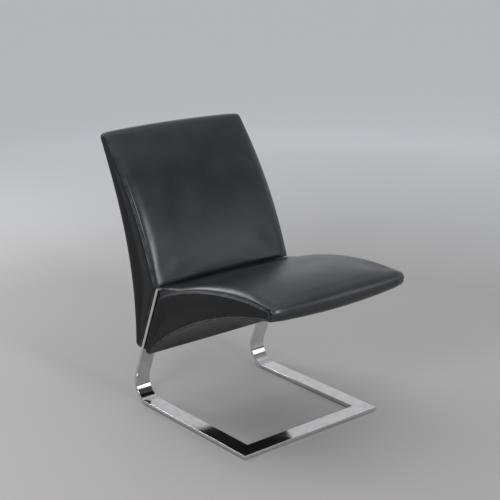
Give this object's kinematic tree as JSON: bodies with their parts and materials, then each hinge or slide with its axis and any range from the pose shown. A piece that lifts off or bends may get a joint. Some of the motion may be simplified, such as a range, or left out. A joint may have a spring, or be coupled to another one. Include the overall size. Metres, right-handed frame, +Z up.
{
  "type": "cantilever lounge chair",
  "caption": "Armless cantilever lounge chair with a flat-bar steel frame, a wedge-shaped leather seat and a tall curved leather back.",
  "frame": {"origin": "middle of the chair's footprint on the floor", "axes": "+Z up, the chair faces -Y, the sitter's right is -X"},
  "size_m": [0.514, 0.7874, 0.8159],
  "materials": {
    "polished_steel": "mirror-polished flat bar with fine rub marks",
    "black_leather": "smooth black semi-gloss leather with fine grain",
    "leather_seam": "topstitched black leather seam",
    "black_cloth": "plain black lining and webbing",
    "foam": "upholstery foam",
    "plywood": "bare birch plywood",
    "nylon": "moulded nylon",
    "zinc": "zinc-plated fasteners"
  },
  "bodies": {
    "floor_frame": {"right_floor_bar": "polished_steel", "left_floor_bar": "polished_steel", "front_floor_bar": "polished_steel", "floor_glides": "nylon"},
    "seat_and_back": {"right_upright": "polished_steel", "left_upright": "polished_steel", "top_cross_bar": "polished_steel", "seat_top_cover": "black_leather", "seat_under_cover": "black_leather", "seat_rear_lining": "black_cloth", "seat_side_cover_right": "black_leather", "seat_side_cover_left": "black_leather", "seat_seam_right": "leather_seam", "seat_seam_left": "leather_seam", "seat_foam": "foam", "seat_straps": "black_cloth", "seat_cheek_right": "plywood", "seat_cheek_left": "plywood", "seat_rear_board": "plywood", "seat_front_rail": "plywood", "seat_under_panel": "plywood", "back_front_cover": "black_leather", "back_rear_cover": "black_leather", "back_lining": "black_cloth", "back_side_cover_right": "black_leather", "back_side_cover_left": "black_leather", "back_seam_right": "leather_seam", "back_seam_left": "leather_seam", "back_foam": "foam", "back_straps": "black_cloth", "back_cheek_right": "plywood", "back_cheek_left": "plywood", "back_lower_board": "plywood", "back_top_rail": "plywood", "back_rear_panel": "plywood", "seat_bolts": "zinc", "seat_washers": "zinc", "back_screws": "zinc", "back_tee_nuts": "zinc"}
  },
  "joints": [
    {"name": "frame_spring", "type": "hinge", "parent": "floor_frame", "child": "seat_and_back", "pos_m": [0, 0.24541, 0.066], "axis": [1, 0, 0], "range_deg": [-1, 3.5], "stiffness_Nm_per_rad": 4800, "springref_deg": -0.3}
  ]
}
